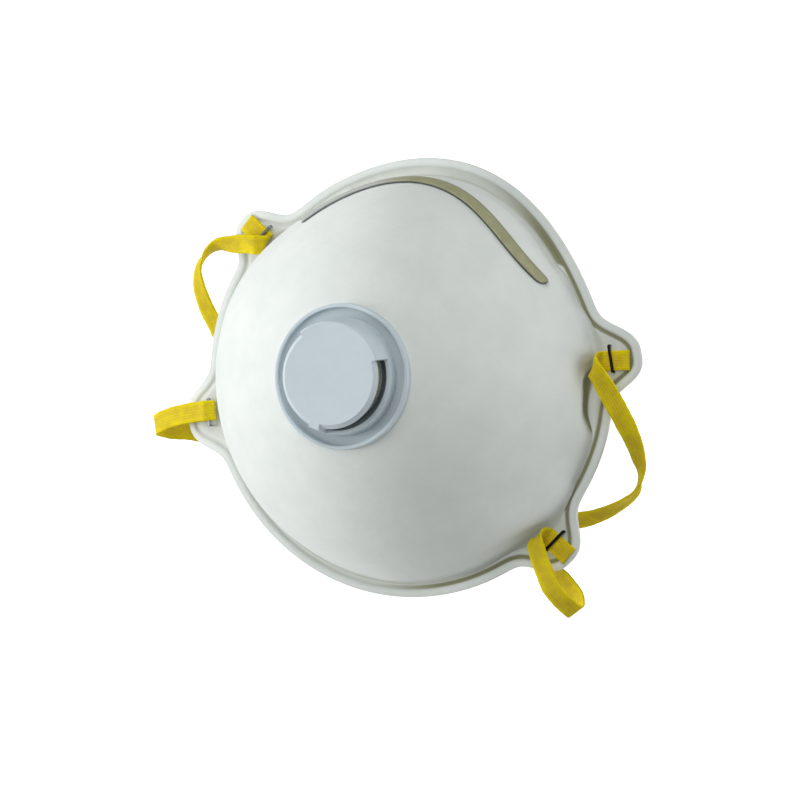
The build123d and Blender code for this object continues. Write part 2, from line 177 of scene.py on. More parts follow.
LOWER_STRAP = [
    ((68.9, -36.0, 1.98), (0.37, 0.93, 0.0)),
    ((61.4, -33.0, 1.98), (0.37, 0.93, 0.0)),
    ((60.3, -32.6, 2.0), (0.37, 0.93, 0.0)),
    ((59.2, -32.3, 3.2), (0.38, 0.92, 0.05)),
    ((58.3, -32.8, 4.7), (0.5, 0.82, 0.25)),
    ((58.4, -34.6, 5.7), (0.72, 0.64, 0.25)),
    ((60.2, -37.9, 5.5), (0.86, 0.5, 0.1)),
    ((62.9, -42.1, 4.2), (0.9, 0.42, 0.05)),
    ((66.9, -47.6, 2.0), (0.86, 0.5, 0.0)),
    ((70.9, -50.9, -1.6), (0.72, 0.68, 0.0)),
    ((73.6, -52.6, -5.2), (0.6, 0.8, 0.0)),
    ((71.6, -50.2, -9.0), (0.55, 0.83, 0.05)),
    ((66.4, -47.4, -12.2), (0.4, 0.9, 0.1)),
    ((60.2, -45.4, -15.0), (0.25, 0.96, 0.1)),
    ((44.0, -42.4, -21.0), (0.06, 0.98, 0.15)),
    ((23.0, -45.0, -25.6), (-0.06, 0.98, 0.15)),
    ((0.0, -47.0, -27.4), (0.0, 0.98, 0.15)),
    ((-24.0, -47.0, -26.4), (0.04, 0.98, 0.15)),
    ((-46.0, -45.6, -22.8), (0.06, 0.97, 0.15)),
    ((-61.0, -43.6, -18.6), (0.0, 0.98, 0.15)),
    ((-71.4, -42.4, -14.8), (-0.15, 0.97, 0.15)),
    ((-79.2, -44.0, -10.6), (-0.3, 0.93, 0.15)),
    ((-81.9, -43.7, -6.2), (-0.42, 0.9, 0.05)),
    ((-79.8, -42.2, -2.4), (-0.45, 0.89, 0.0)),
    ((-75.6, -39.2, 0.6), (-0.45, 0.89, 0.0)),
    ((-70.4, -36.2, 3.2), (-0.43, 0.9, 0.0)),
    ((-64.8, -33.4, 5.2), (-0.41, 0.91, 0.0)),
    ((-61.2, -31.8, 6.4), (-0.41, 0.91, 0.05)),
    ((-59.5, -31.1, 5.2), (-0.41, 0.91, 0.05)),
    ((-59.8, -31.2, 3.3), (-0.41, 0.91, 0.0)),
    ((-61.0, -31.7, 2.0), (-0.41, 0.91, 0.0)),
    ((-62.0, -32.2, 1.98), (-0.41, 0.91, 0.0)),
    ((-69.4, -35.5, 1.98), (-0.41, 0.91, 0.0)),
]


# ---- small helpers

def at(x, up, out):
    return Vector((x, -out, up)) * MM


def smoothstep(low, high, value):
    t = min(max((value - low) / (high - low), 0.0), 1.0)
    return t * t * (3 - 2 * t)


def grid_mesh(name, rows, material, wrap_rows=False, wrap_columns=False, caps=False, values=None):
    """A mesh of quads through rows of points. values are numbers for each point, by name."""
    count, width = len(rows), len(rows[0])
    points = [p for row in rows for p in row]
    faces = []
    for i in range(count if wrap_rows else count - 1):
        for j in range(width if wrap_columns else width - 1):
            a, b = i * width + j, i * width + (j + 1) % width
            c, d = ((i + 1) % count) * width + (j + 1) % width, ((i + 1) % count) * width + j
            faces.append((a, b, c, d))
    if caps:
        faces.append(tuple(reversed(range(width))))
        faces.append(tuple(range((count - 1) * width, count * width)))
    mesh = bpy.data.meshes.new(name)
    mesh.from_pydata(points, [], faces)
    for label, numbers in (values or {}).items():
        layer = mesh.attributes.new(label, "FLOAT", "POINT")
        layer.data.foreach_set("value", numbers)
    mesh.polygons.foreach_set("use_smooth", [True] * len(mesh.polygons))
    mesh.materials.append(material)
    piece = bpy.data.objects.new(name, mesh)
    bpy.context.scene.collection.objects.link(piece)
    return piece


def face_outwards(piece):
    """Turns every face of a closed mesh outwards."""
    shape = bmesh.new()
    shape.from_mesh(piece.data)
    bmesh.ops.recalc_face_normals(shape, faces=shape.faces)
    shape.to_mesh(piece.data)
    shape.free()


# ---- materials

class Nodes:
    """A material's node tree, with short ways to add and join nodes."""

    def __init__(self, name):
        self.material = bpy.data.materials.new(name)
        self.material.use_nodes = True
        self.tree = self.material.node_tree
        self.shader = self.tree.nodes["Principled BSDF"]

    def add(self, kind, settings=None, **sockets):
        node = self.tree.nodes.new("ShaderNode" + kind)
        for key, value in (settings or {}).items():
            setattr(node, key, value)
        for key, value in sockets.items():
            self.put(node.inputs[key.replace("_", " ")], value)
        return node

    def put(self, socket, value):
        if isinstance(value, bpy.types.NodeSocket):
            self.tree.links.new(value, socket)
        else:
            socket.default_value = value

    def set(self, **sockets):
        for key, value in sockets.items():
            self.put(self.shader.inputs[key.replace("_", " ")], value)

    def place(self, scale=(1, 1, 1)):
        """The object's own coordinates, in metres, stretched."""
        source = self.add("TexCoord").outputs["Object"]
        return self.add("Mapping", Vector=source, Scale=scale).outputs["Vector"]

    def attribute(self, name):
        return self.add("Attribute", {"attribute_name": name}).outputs["Fac"]

    def noise(self, vector, scale, detail=4.0, roughness=0.6):
        node = self.add("TexNoise", Vector=vector, Scale=scale, Detail=detail, Roughness=roughness)
        return node.outputs["Fac"]

    def math(self, operation, a, b=0.0):
        node = self.add("Math", {"operation": operation})
        self.put(node.inputs[0], a)
        self.put(node.inputs[1], b)
        return node.outputs[0]

    def span(self, value, low, high, to_low, to_high):
        node = self.add("MapRange")
        for key, number in zip(("Value", "From Min", "From Max", "To Min", "To Max"),
                               (value, low, high, to_low, to_high)):
            self.put(node.inputs[key], number)
        return node.outputs["Result"]

    def mix(self, share, a, b):
        node = self.add("Mix", {"data_type": "RGBA"})
        self.put(node.inputs["Factor"], share)
        colours = [s for s in node.inputs if s.type == "RGBA"]
        for socket, value in zip(colours, (a, b)):
            self.put(socket, value if isinstance(value, bpy.types.NodeSocket) else (*value, 1))
        return [s for s in node.outputs if s.type == "RGBA"][0]

    def bump(self, *layers):
        """Bumps laid over each other, each a (height, depth in metres) pair."""
        normal = None
        for height, depth in layers:
            node = self.add("Bump", Height=height, Strength=1.0, Distance=depth)
            if normal is not None:
                self.put(node.inputs["Normal"], normal)
            normal = node.outputs["Normal"]
        self.put(self.shader.inputs["Normal"], normal)


def felt_material(name, light, shade, tan_for_weld_and_shade):
    """Needled non-woven felt: a soft mottle, short fibres lying every way, and a tan tint where
    the plies are welded thin. The same tan paints shade in the crease at the cup's foot and
    makes the weld darker on its right side."""
    n = Nodes(name)
    where = n.place()
    mottle = n.noise(where, 90, 5)
    patches = n.noise(where, 320, 3)
    fibres = n.add("TexVoronoi", {"feature": "DISTANCE_TO_EDGE"}, Scale=900.0,
                   Vector=n.add("Mapping", Vector=where, Scale=(1.0, 1.9, 0.7)).outputs["Vector"])
    crossing = n.noise(n.place((2.6, 0.8, 1.1)), 1300, 3)
    colour = n.mix(n.span(mottle, 0.35, 0.65, 0.0, 1.0), light, shade)
    colour = n.mix(n.span(patches, 0.4, 0.75, 0.0, 0.25), colour, shade)
    # The weld attribute mixes in the weld's tan and painted shade at the cup's foot and the weld's
    # right side.
    colour = n.mix(n.attribute("weld"), colour, tan_for_weld_and_shade)
    n.set(Base_Color=colour, Roughness=n.span(patches, 0.3, 0.7, 0.86, 0.98))
    n.shader.inputs["Sheen Weight"].default_value = 0.25
    n.shader.inputs["Sheen Roughness"].default_value = 0.6
    n.shader.inputs["Specular IOR Level"].default_value = 0.25
    n.bump((mottle, 0.00012), (patches, 0.00008), (crossing, 0.00005),
           (fibres.outputs["Distance"], 0.00004))
    return n.material


def elastic_material():
    """Knitted yellow elastic: fine covered threads along it, yarn crossing them, and a middle band
    that is worn browner than its edges."""
    n = Nodes("yellow_elastic")
    across, along = n.attribute("across"), n.attribute("along")
    threads = n.math("SINE", n.math("MULTIPLY", across, 2 * pi * 7.5))
    row = n.math("ADD", n.math("MULTIPLY", along, 2 * pi / 0.8), n.math("MULTIPLY", threads, 0.9))
    yarn = n.math("SINE", row)
    where = n.place()
    fuzz = n.noise(where, 2600, 3)
    patches = n.noise(where, 260, 4)
    middle = n.span(n.math("ABSOLUTE", across), 0.22, 0.42, 1.0, 0.0)
    colour = n.mix(n.span(patches, 0.35, 0.7, 0.0, 1.0), (0.86, 0.70, 0.004), (0.72, 0.56, 0.004))
    worn = n.math("MULTIPLY", middle, n.span(patches, 0.3, 0.6, 0.2, 0.65))
    colour = n.mix(worn, colour, (0.60, 0.43, 0.035))
    colour = n.mix(n.span(threads, -1.0, -0.2, 0.14, 0.0), colour, (0.45, 0.33, 0.004))
    colour = n.mix(n.span(yarn, -1.0, 0.2, 0.10, 0.0), colour, (0.45, 0.33, 0.004))
    n.set(Base_Color=colour, Roughness=n.span(fuzz, 0.3, 0.7, 0.7, 0.9))
    n.shader.inputs["Sheen Weight"].default_value = 0.03
    n.shader.inputs["Specular IOR Level"].default_value = 0.15
    n.bump((threads, 0.00003), (yarn, 0.00002), (fuzz, 0.00003))
    return n.material


def plastic_material(name, colour, deep, rough, shade_rings=()):
    """Moulded polypropylene: fine spark texture, and a slightly uneven tone. A shade ring is two
    radii about the valve's axis and how dark the painted shade is between them."""
    n = Nodes(name)
    where = n.place()
    grain = n.noise(where, 2400, 2)
    flow = n.noise(where, 130, 3)
    base = n.mix(n.span(flow, 0.35, 0.65, 0.0, 1.0), colour, deep)
    if shade_rings:
        from_axis = n.add("VectorMath", {"operation": "LENGTH"}, Vector=n.place((1, 0, 1)))
        radius = from_axis.outputs["Value"]
    # Each ring paints shade between its two radii.
    for start, end, tone in shade_rings:
        inside = n.span(radius, start, start + 0.0002, 0.0, 1.0)
        outside = n.span(radius, end - 0.0004, end, 1.0, 0.0)
        base = n.mix(n.math("MULTIPLY", inside, outside), base, tuple(c * tone for c in deep))
    n.set(Base_Color=base,
          Roughness=n.span(grain, 0.3, 0.7, rough - 0.06, rough + 0.08))
    n.shader.inputs["Subsurface Weight"].default_value = 0.05
    n.shader.inputs["Subsurface Radius"].default_value = (0.5, 0.6, 0.7)
    n.shader.inputs["Subsurface Scale"].default_value = 0.001
    n.bump((flow, 0.00005), (grain, 0.000012))
    return n.material


def rubber_material():
    n = Nodes("flap_silicone")
    where = n.place()
    dust = n.noise(where, 700, 4)
    colour = n.mix(n.span(dust, 0.35, 0.7, 0.0, 1.0), (0.60, 0.52, 0.36), (0.48, 0.41, 0.27))
    n.set(Base_Color=colour, Roughness=n.span(dust, 0.3, 0.7, 0.45, 0.65))
    n.bump((dust, 0.00003))
    return n.material


def clip_material():
    """Lacquered soft aluminium: an olive face with fine rolling lines, painted shadow on its sides
    and ends, and a paler, greyer left part."""
    n = Nodes("olive_aluminium")
    where = n.place()
    wear = n.noise(where, 420, 4)
    rolling = n.noise(n.place((0.25, 1.0, 6.0)), 900, 2)
    face = n.mix(n.span(wear, 0.35, 0.7, 0.0, 1.0), (0.37, 0.375, 0.205), (0.45, 0.45, 0.28))
    # The cut colour is painted shadow along the strip's sides and ends, greyer over the left part.
    cut = n.mix(n.attribute("paler_left"), (0.018, 0.024, 0.03), (0.20, 0.22, 0.23))
    face = n.mix(n.attribute("paler_left"), face, (0.66, 0.68, 0.68))
    colour = n.mix(n.attribute("edge"), face, cut)
    n.set(Base_Color=colour, Roughness=n.span(wear, 0.3, 0.7, 0.38, 0.55))
    n.shader.inputs["Metallic"].default_value = 0.15
    n.bump((wear, 0.00006), (rolling, 0.00003))
    return n.material


def staple_material(name, colour, rough):
    n = Nodes(name)
    where = n.place()
    drawn = n.noise(where, 1800, 3)
    darker = tuple(c * 0.6 for c in colour)
    n.set(Base_Color=n.mix(n.span(drawn, 0.35, 0.7, 0.0, 1.0), colour, darker),
          Roughness=n.span(drawn, 0.3, 0.7, rough - 0.08, rough + 0.12))
    n.shader.inputs["Metallic"].default_value = 0.9
    n.bump((drawn, 0.00003))
    return n.material


def foam_material():
    """Open-cell foam: round pores of two sizes."""
    n = Nodes("grey_foam")
    where = n.place()
    pores = n.add("TexVoronoi", Vector=where, Scale=1100.0).outputs["Distance"]
    cells = n.add("TexVoronoi", Vector=where, Scale=2600.0).outputs["Distance"]
    colour = n.mix(n.span(pores, 0.0, 0.35, 0.0, 1.0), (0.30, 0.31, 0.31), (0.56, 0.57, 0.56))
    n.set(Base_Color=colour, Roughness=n.span(cells, 0.0, 0.5, 0.98, 0.85))
    n.bump((pores, 0.0003), (cells, 0.00012))
    return n.material


def stage_material():
    """A bright seamless sweep: it glows a little, so it stays plain and pale behind the object."""
    n = Nodes("pale_sweep")
    tone = n.noise(n.place(), 0.8, 2)
    n.set(Base_Color=n.mix(tone, (0.90, 0.90, 0.89), (0.93, 0.93, 0.92)), Roughness=0.9)
    n.shader.inputs["Emission Color"].default_value = (1, 1, 0.995, 1)
    n.shader.inputs["Emission Strength"].default_value = 0.75
    return n.material


# ---- the cup's shape, as the CAD plies have it

def turn_between(angle, centre):
    return (angle - centre + pi) % (2 * pi) - pi


def cheek_dip(angle):
    return CHEEK_FLAT * sin(2 * angle) ** 2 if sin(angle) > 0 else 0.0


def left_dip(angle):
    """The rim is drawn in a little more between the left upper ear and the nose."""
    from_middle = turn_between(angle, radians(LEFT_DIP_AT))
    return LEFT_DIP * exp(-(from_middle / radians(LEFT_DIP_WIDTH)) ** 2)


def ear_share(angle):
    """How much of an ear there is at this angle, in millimetres of height."""
    height = 0.0
    for centre, tall, half_width in EARS:
        along = turn_between(angle, radians(centre)) * RIM_RADIUS
        height += tall * exp(-abs(along / half_width) ** 3)
    return height


def edge_point(angle):
    """The rim's outer edge, ears and all."""
    radius = RIM_RADIUS - cheek_dip(angle) + ear_share(angle) - left_dip(angle)
    return Vector((radius * cos(angle), radius * sin(angle)))


def edge_normal(angle):
    step = 0.002
    run = edge_point(angle + step) - edge_point(angle - step)
    return Vector((run.y, -run.x)).normalized()


def dent(angle):
    return sum(deep * exp(-(turn_between(angle, radians(centre)) / radians(width)) ** 4)
               for centre, deep, width in DENTS)


def creased(angle):
    """1 where the cup is drawn in enough for a crease at its foot."""
    return smoothstep(0.4, 2.0, dent(angle))


def over_nose(angle, fade):
    """1 over the nose, and 0 past the wide weld's two ends, which fade over this many radians."""
    from_nose = abs(turn_between(angle, pi / 2))
    limit = radians(90 - NOSE_WELD_FROM)
    return 1 - smoothstep(limit - 0.01, limit + fade, from_nose)


def nose_step(angle):
    """Over the nose the cup stands back to make room for the wider weld."""
    return (NOSE_WELD_EXTRA + 0.1) * over_nose(angle, 0.09)


def cup_radius_at(angle, height, inset):
    """The wall's radius at this height, for a face this far inside the cup's outer face."""
    share = max(height, 0.0) / (APEX - inset)
    fullness = (1 - min(share, 1.0) ** FULLNESS) ** (1 / FULLNESS)
    dip = cheek_dip(angle) * (1 - (max(height, 0.0) / CROWN) ** 2)
    drawn_in = (dent(angle) + nose_step(angle)) * max(1 - max(height, 0.0) / DENT_HEIGHT, 0.0) ** 2
    return (CUP_RADIUS - inset - dip) * fullness - drawn_in


def bent_back(x, up):
    """How far the rim lies behind its plane here: an ear's tip is bent towards the wearer."""
    beyond = max(hypot(x, up) - RIM_RADIUS, 0.0) / EAR_REACH
    return (EAR_BEND_LEFT if x < 0 else EAR_BEND_RIGHT) * beyond ** 1.5


def weld_inner(angle):
    """The weld is wider over the nose, with a step at each side."""
    return WELD_INNER + NOSE_WELD_EXTRA * over_nose(angle, 0.03)


def right_side_shade(angle):
    """1 on the rim's right side, away from the strongest light, and 0 on the left: painted shade.
    """
    return smoothstep(0.08, 0.5, cos(angle))


def weld_tone(angle):
    """How tan the weld is: its own faint tan, with painted shade added towards the right."""
    return WELD_FAINT + (1 - WELD_FAINT) * right_side_shade(angle)


def dome_heights(top, count):
    """Heights from the crown down to the rim, closer together where the wall curves."""
    return [top * sin(pi / 2 * (1 - k / count)) for k in range(count)]


def ply_piece(name, node, material, steps):
    """One moulded ply as a closed skin: its outer face from the neck's hole over the cup, the weld
    and the rim to the edge, and back underneath."""
    outer, inner = PLIES[node]["wall"]
    low, high = PLIES[node]["rim"]
    weld = WELD_DEPTH if node == "outer_cover" else 0.0
    # The weld attribute per point: the weld's tan, and painted shade in the crease at the cup's
    # foot.
    rows, weld_and_shade_values = [], []

    def add_ring(point_at, value=0.0):
        row = []
        for k in range(AROUND):
            angle = 2 * pi * k / AROUND
            x, up, out = point_at(angle)
            row.append(at(x, up, out - bent_back(x, up)))
            weld_and_shade_values.append(value(angle) if callable(value) else value)
        rows.append(row)

    def add_round(radius, out):
        add_ring(lambda a: (radius * cos(a), radius * sin(a), out))

    def add_wall(height, inset, widen=0.0, value=0.0):
        def point(angle):
            radius = cup_radius_at(angle, height, inset) + widen
            return radius * cos(angle), radius * sin(angle), height
        add_ring(point, value)

    def add_rim(inset_at, out, value=0.0):
        def point(angle):
            spot = edge_point(angle) - edge_normal(angle) * inset_at(angle)
            return spot.x, spot.y, out
        add_ring(point, value)

    # Painted shade in the crease at the cup's foot: some all round, deeper on the right where the
    # cup is drawn in.
    def painted_crease_shade(angle):
        return 0.45 + 0.55 * creased(angle) * right_side_shade(angle)

    def fill_value(angle):
        beside_dents = 1 - smoothstep(0.4, 2.5, dent(angle))
        return 0.2 * smoothstep(1.0, 6.0, ear_share(angle)) * beside_dents

    top = CROWN - outer
    add_round(NECK_HOLE, top)
    add_round(UNDER_FLANGE, top)
    for height in dome_heights(top, steps):
        if height > high + FOOT_RADIUS:
            add_wall(height, outer)
    foot = max(FOOT_RADIUS - outer, 0.2)
    # The foot's rings carry painted shade, more of it lower down towards the rim.
    for turn in (15, 40, 65, 85):
        widen = foot * (1 - cos(radians(turn)))
        shade = smoothstep(0, 90, turn)
        height = high + foot * (1 - sin(radians(turn)))
        add_wall(height, outer, widen, lambda a, t=shade: t * painted_crease_shade(a))
    for share in (0.12, 0.3, 0.7):
        def between(angle, share=share):
            start = cup_radius_at(angle, high, outer) + foot
            spot = edge_point(angle) - edge_normal(angle) * (weld_inner(angle) + 0.25)
            first = Vector((start * cos(angle), start * sin(angle)))
            middle = first.lerp(spot, share)
            pressed = weld * creased(angle) if share < 0.2 else 0.0
            return middle.x, middle.y, high - pressed
        add_ring(between, painted_crease_shade if share < 0.2 else fill_value)
    add_rim(lambda a: weld_inner(a) + 0.15, high, lambda a: 0.35 * weld_tone(a))
    add_rim(lambda a: weld_inner(a) - 0.1, high - weld * 0.8, lambda a: 0.9 * weld_tone(a))
    add_rim(lambda a: (weld_inner(a) + WELD_OUTER) / 2, high - weld, weld_tone)
    add_rim(lambda a: WELD_OUTER + 0.1, high - weld * 0.8, lambda a: 0.9 * weld_tone(a))
    add_rim(lambda a: WELD_OUTER - 0.15, high, lambda a: 0.3 * weld_tone(a))
    puff = 0.12 if weld else 0.0
    add_rim(lambda a: 1.8, high + puff, 0.04)
    add_rim(lambda a: 1.0, high + puff, 0.0)
    edge = min(0.3, (high - low) * 0.45)
    for turn in (0, 30, 60, 90):
        drop = edge * (1 - cos(radians(turn)))
        add_rim(lambda a, t=turn: edge * (1 - sin(radians(t))), high - drop, 0.08)
    add_rim(lambda a: 0.0, low + edge * 0.4, 0.15)
    add_rim(lambda a: edge, low, 0.1)
    add_rim(lambda a: WELD_OUTER, low, 0.4)
    add_rim(weld_inner, low, 0.4)
    top = CROWN - inner
    heights = [h for h in dome_heights(top, steps) if h > low + 0.5]
    add_wall(low, inner)
    for height in reversed(heights):
        add_wall(height, inner)
    add_round(UNDER_FLANGE, top)
    add_round(NECK_HOLE, top)
    piece = grid_mesh(name, rows, material, wrap_rows=True, wrap_columns=True,
                      values={"weld": weld_and_shade_values})
    face_outwards(piece)
    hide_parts(node)
    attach(piece, "mask")
    return piece


# ---- bands on the cup: the nose clip and the foam

def clip_height_at(angle):
    return sum(c * (angle / 45.0) ** k for k, c in enumerate(CLIP_WAVE))


def foam_height_at(angle):
    return FOAM_HEIGHT + FOAM_RISE * (angle / FOAM_HALF_ANGLE) ** 2


def band_frame(angle, inset, middle):
    """A point on the cup's wall over the nose, with the wall's normal and its upward direction."""
    around = radians(90 + angle)
    lean = (cup_radius_at(around, middle - 1, inset) - cup_radius_at(around, middle + 1, inset)) / 2
    radius = cup_radius_at(around, middle, inset)
    outward = at(cos(around), sin(around), 0) / MM
    normal = (outward + at(0, 0, lean) / MM).normalized()
    rise = (at(0, 0, 1) / MM - outward * lean).normalized()
    return at(radius * cos(around), radius * sin(around), middle), normal, rise


def nose_clip(material):
    """The strip with round ends and a soft roll to its edges."""
    steps = 160
    half = CLIP_WIDTH / 2
    span = radians(CLIP_TO - CLIP_FROM) * (CUP_RADIUS - 1)
    # Points round the strip, as shares of its half width and thickness, and how much painted shadow
    # each one has.
    section = [(-1, 0.0), (-1, 0.62), (-0.94, 0.88), (-0.8, 0.97), (-0.4, 1.0), (0, 1.0),
               (0.4, 1.0), (0.8, 0.97), (0.94, 0.88), (1, 0.62), (1, 0.0), (0, 0.0)]
    dark = [1, 1, 0.8, 0.15, 0, 0, 0, 0.0, 0.1, 0.6, 1, 1]
    rows, edges, paler_left = [], [], []
    for k in range(steps + 1):
        share = k / steps
        share = share - sin(2 * pi * share) / (2 * pi) * 0.6
        from_end = min(share, 1 - share) * span
        width = half * sqrt(max(1 - (1 - min(from_end / half, 1.0)) ** 2, 0.0004))
        angle = CLIP_FROM + (CLIP_TO - CLIP_FROM) * share
        point, normal, rise = band_frame(angle, -0.15, clip_height_at(angle))
        ending = 1 - smoothstep(0.0, 0.9, from_end)
        row = []
        for (side, lift), tone in zip(section, dark):
            sag = 0.12 * (side * side) * CLIP_THICKNESS if lift > 0 else 0.0
            height = lift * CLIP_THICKNESS - sag
            row.append(point + rise * (side * width * MM) + normal * (height * MM))
            # The ends get painted shadow too.
            edges.append(max(tone, ending * 0.9))
            # Paler and greyer towards the left end.
            paler_left.append(0.85 * smoothstep(0.58, 0.8, share))
        rows.append(row)
    piece = grid_mesh("nose_clip_strip", rows, material, wrap_columns=True, caps=True,
                      values={"edge": edges, "paler_left": paler_left})
    face_outwards(piece)
    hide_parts("nose_clip")
    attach(piece, "mask")


def nose_foam(material):
    """The foam strip: soft rounded long edges, cut ends, and a slightly uneven face."""
    steps = 110
    around = 20
    inset = PLIES["inner_shell"]["wall"][1] + FOAM_GAP
    rows = []
    for k in range(steps + 1):
        share = k / steps
        angle = FOAM_HALF_ANGLE * (2 * share - 1)
        point, normal, rise = band_frame(angle, inset, foam_height_at(angle))
        ending = 1 - 0.35 * (1 - smoothstep(0.0, 0.02, min(share, 1 - share)))
        uneven = 1 + 0.03 * sin(share * 23) + 0.02 * sin(share * 57 + 1)
        row = []
        for j in range(around):
            turn = 2 * pi * j / around
            c, s = cos(turn), sin(turn)
            side = abs(c) ** 0.45 * (1 if c > 0 else -1) * FOAM_WIDTH / 2 * ending
            lift = (abs(s) ** 0.45 * (1 if s > 0 else -1) + 1) / 2 * FOAM_THICKNESS
            lift *= ending * uneven
            row.append(point + rise * (side * MM) - normal * (lift * MM))
        rows.append(row)
    piece = grid_mesh("nose_foam_strip", rows, material, wrap_columns=True, caps=True)
    face_outwards(piece)
    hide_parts("nose_foam")
    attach(piece, "mask")


# ---- straps

def smooth_line(rows, step):
    """Points about step apart along a smooth curve through the rows, with their directions."""
    points = [Vector(p) for p, _ in rows]
    sides = [Vector(s) for _, s in rows]
    gaps = [(b - a).length for a, b in zip(points, points[1:])]

    def slope(values, i):
        before, after = max(i - 1, 0), min(i, len(gaps) - 1)
        back = (values[before + 1] - values[before]) / gaps[before]
        ahead = (values[after + 1] - values[after]) / gaps[after]
        return (back * gaps[after] + ahead * gaps[before]) / (gaps[before] + gaps[after])

    def between(values, i, t):
        gap = gaps[i]
        leaving = slope(values, i) * gap * (t ** 3 - 2 * t ** 2 + t)
        arriving = slope(values, i + 1) * gap * (t ** 3 - t ** 2)
        start = values[i] * (2 * t ** 3 - 3 * t ** 2 + 1) + leaving
        end = values[i + 1] * (3 * t ** 2 - 2 * t ** 3) + arriving
        return start + end

    line = []
    for i, gap in enumerate(gaps):
        count = max(2, round(gap / step))
        shares = [k / count for k in range(count)]
        line += [(between(points, i, t), between(sides, i, t)) for t in shares]
    line.append((points[-1], sides[-1]))
    return line


def strap_section():
    """Points round the elastic's section, as shares of its half width and half thickness."""
    ridges, flat = 5, 0.90
    top = []
    for k in range(2 * ridges + 1):
        share = -flat + 2 * flat * k / (2 * ridges)
        top.append((share, 0.86 if k % 2 else 1.0))
    edge = [(0.975, 0.72), (1.0, 0.0), (0.975, -0.72)]
    return top + edge + [(-x, -y) for x, y in top] + [(-x, -y) for x, y in edge]


def strap(name, rows, material, nodes):
    """One whole elastic in a single piece, from the mask round its loop and back. Its stapled ends
    lie on the ears and follow their bend."""
    line = smooth_line(rows, STRAP_STEP)
    section = strap_section()
    rings, across, along = [], [], []
    run = 0.0
    for k, (point, side) in enumerate(line):
        ahead = line[min(k + 1, len(line) - 1)][0] - line[max(k - 1, 0)][0]
        if k:
            run += (point - line[k - 1][0]).length
        width = (side - ahead * (side.dot(ahead) / ahead.dot(ahead))).normalized()
        lift = ahead.normalized().cross(width)
        waver = 1 + 0.015 * sin(run * 0.9) + 0.012 * sin(run * 2.3 + 1)
        ring = []
        from_end = min(k, len(line) - 1 - k)
        on_ear = 1 - smoothstep(STAPLED_STEPS, STAPLED_STEPS + LEAVING_STEPS, from_end)
        for x, y in section:
            spot = point + width * (x * STRAP_WIDTH / 2 * waver) + lift * (y * STRAP_THICKNESS / 2)
            spot.z -= bent_back(spot.x, spot.y) * on_ear
            ring.append(at(*spot))
            across.append(x / 2)
            along.append(run)
        rings.append(ring)
    piece = grid_mesh(name, rings, material, wrap_columns=True, caps=True,
                      values={"across": across, "along": along})
    face_outwards(piece)
    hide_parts(*nodes)
    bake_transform(piece)
    return piece


# ---- staples

def rounded_path(corners, radius, steps=6):
    """A path through the corners with each inner corner turned on a small arc."""
    path = [corners[0]]
    for before, corner, after in zip(corners, corners[1:], corners[2:]):
        back, ahead = (before - corner).normalized(), (after - corner).normalized()
        angle = acos(max(-1.0, min(1.0, back.dot(ahead))))
        reach = radius / max(sin(angle / 2) / cos(angle / 2), 1e-6)
        for k in range(steps + 1):
            t = k / steps
            first, last = corner + back * reach, corner + ahead * reach
            path.append(first * (1 - t) ** 2 + corner * (2 * t * (1 - t)) + last * t ** 2)
    return path + [corners[-1]]


def staple(name, centre, angle, material):
    half, depth = CROWN_LENGTH / 2, WIRE_RADIUS + 0.02
    corners = [(-half + CLINCH, depth), (-half, depth), (-half, STAPLE_CROWN),
               (half, STAPLE_CROWN), (half, depth), (half - CLINCH, depth)]
    turn = radians(angle)
    along = Vector((cos(turn), sin(turn)))

    def spot(run, out):
        x, up = centre[0] + along.x * run, centre[1] + along.y * run
        return Vector((x, up, out - bent_back(x, up)))

    path = rounded_path([spot(*c) for c in corners], WIRE_BEND)
    sideways = Vector((-along.y, along.x, 0))
    rings = []
    sides = 14
    for k, point in enumerate(path):
        ahead = (path[min(k + 1, len(path) - 1)] - path[max(k - 1, 0)]).normalized()
        lift = ahead.cross(sideways).normalized()
        slim = 0.35 if k in (0, len(path) - 1) else 1.0
        ring = []
        for j in range(sides):
            a = 2 * pi * j / sides
            flat = WIRE_WIDTH / 2 * cos(a) * slim
            tall = WIRE_RADIUS * sin(a) * slim
            ring.append(at(*(point + sideways * flat + lift * tall)))
        rings.append(ring)
    piece = grid_mesh(name + "_wire", rings, material, wrap_columns=True, caps=True)
    face_outwards(piece)
    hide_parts(name)
    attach(piece, "mask")


# ---- valve: the CAD parts with their own materials

def dress(node, material):
    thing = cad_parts[node]
    thing.data.materials.clear()
    thing.data.materials.append(material)


# ---- stage, light and camera

def sweep(material):
    """A pale round floor that turns up into a backdrop far away on every side."""
    floor = cad_box[0].z - 0.055
    reach, turn, tall, sides = 8.0, 2.0, 7.0, 96
    profile = [(0.0, floor), (reach - turn, floor)]
    profile += [(reach - turn + turn * sin(radians(a)), floor + turn * (1 - cos(radians(a))))
                for a in range(10, 91, 10)]
    profile.append((reach, floor + tall))
    turns = [2 * pi * k / sides for k in range(sides)]
    rows = [[Vector((r * cos(a), r * sin(a), z)) for a in turns] for r, z in profile]
    stage = grid_mesh("floor_sweep", rows, material, wrap_columns=True)
    stage.visible_diffuse = False
    stage.visible_glossy = False
    stage.visible_shadow = False


def sun(name, towards, strength, spread):
    """A far soft box: light that comes from one side, spread over a wide angle."""
    lamp = bpy.data.lights.new(name, "SUN")
    lamp.energy = strength
    lamp.angle = radians(spread)
    thing = bpy.data.objects.new(name, lamp)
    thing.rotation_mode = "QUATERNION"
    thing.rotation_quaternion = Vector(towards).to_track_quat("Z", "Y")
    bpy.context.scene.collection.objects.link(thing)


